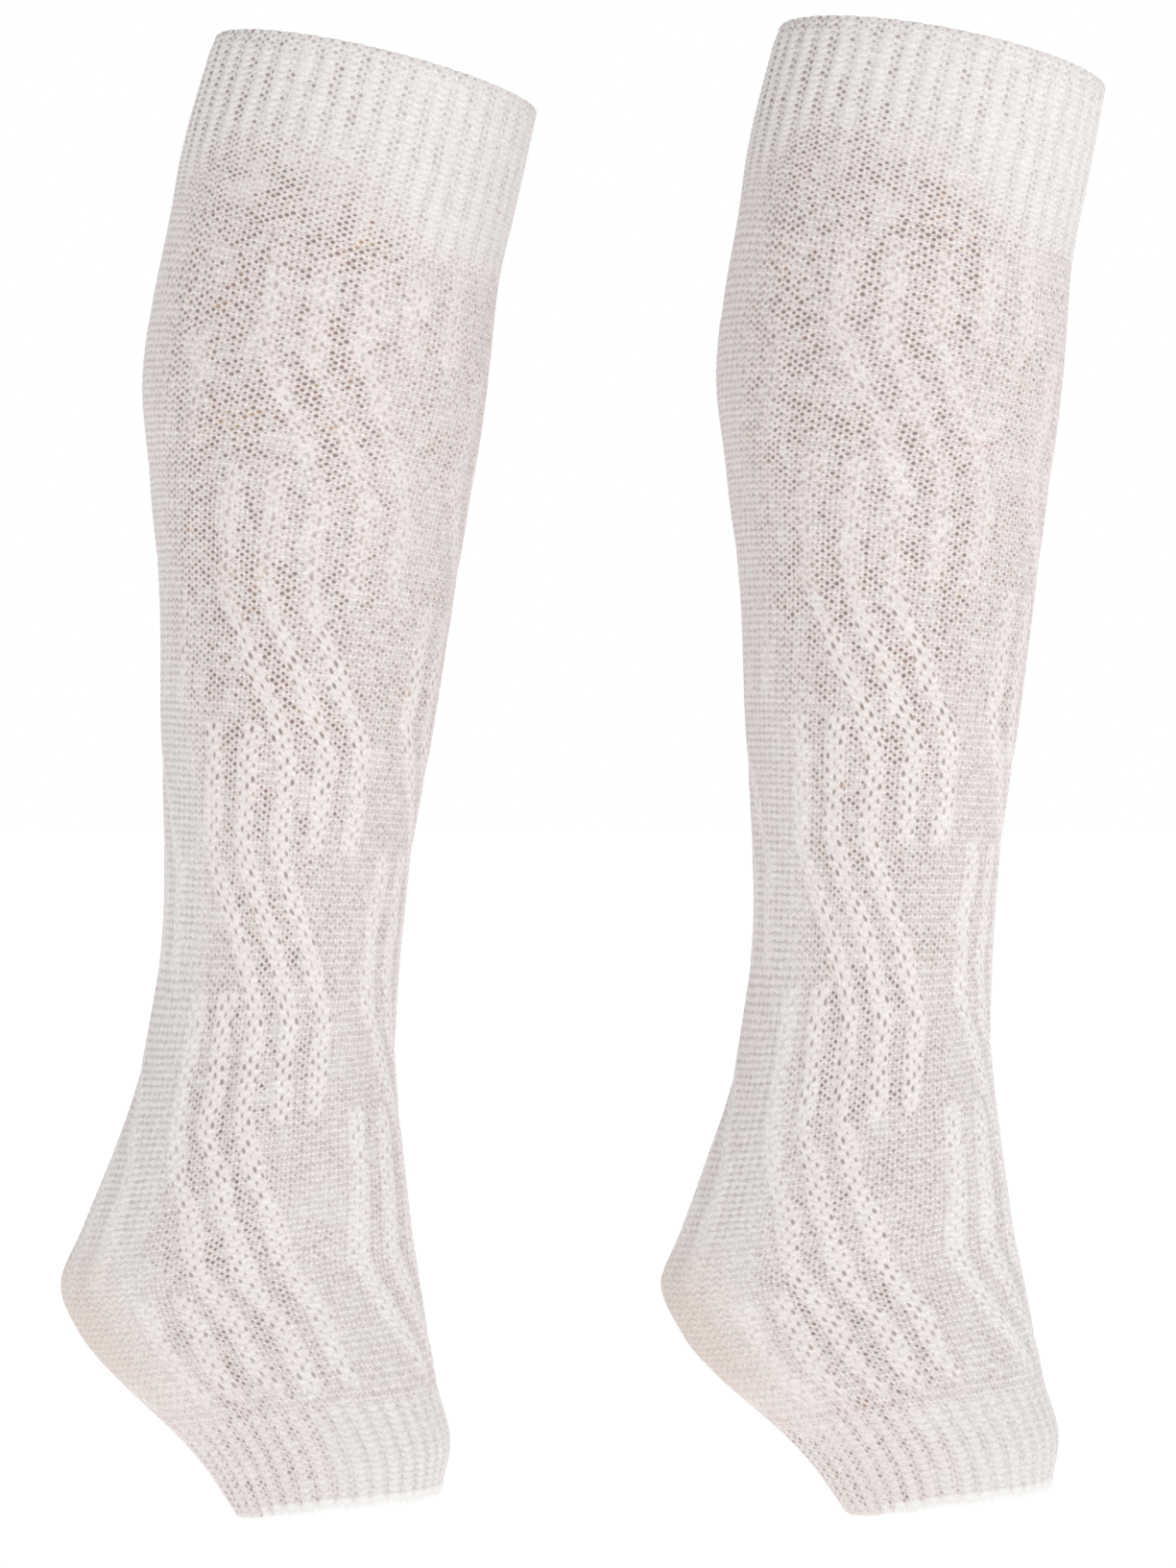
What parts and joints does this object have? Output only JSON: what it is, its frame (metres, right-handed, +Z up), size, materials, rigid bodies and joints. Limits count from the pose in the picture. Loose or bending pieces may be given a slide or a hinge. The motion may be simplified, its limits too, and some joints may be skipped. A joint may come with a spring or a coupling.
{
  "type": "pair of knitted leg warmers",
  "caption": "Pair of knee-high knitted leg warmers, hollow as worn, with travelling ribs on a purl ground, a ribbed calf cuff and a toeless ribbed foot cuff.",
  "frame": {"origin": "middle of the left leg warmer's top cuff, on the axis of the leg, where the rib grips the calf", "axes": "+X from the calf side to the shin side, towards the right leg warmer; +Z up; -Y is the side seen from the front view"},
  "size_m": [0.3565, 0.1079, 0.5055],
  "materials": {
    "left_top_cuff": "matte off-white knitting, one-by-one rib",
    "left_leg": "matte off-white knitting, purl ground with travelling ribs",
    "left_foot_cuff": "matte off-white knitting, one-by-one rib with a pale cast-off edge",
    "right_top_cuff": "matte off-white knitting, one-by-one rib",
    "right_leg": "matte off-white knitting, purl ground with travelling ribs",
    "right_foot_cuff": "matte off-white knitting, one-by-one rib with a pale cast-off edge"
  },
  "bodies": {
    "root": {"left_top_cuff": "left_top_cuff", "left_leg": "left_leg", "left_foot_cuff": "left_foot_cuff", "right_top_cuff": "right_top_cuff", "right_leg": "right_leg", "right_foot_cuff": "right_foot_cuff"}
  },
  "joints": []
}
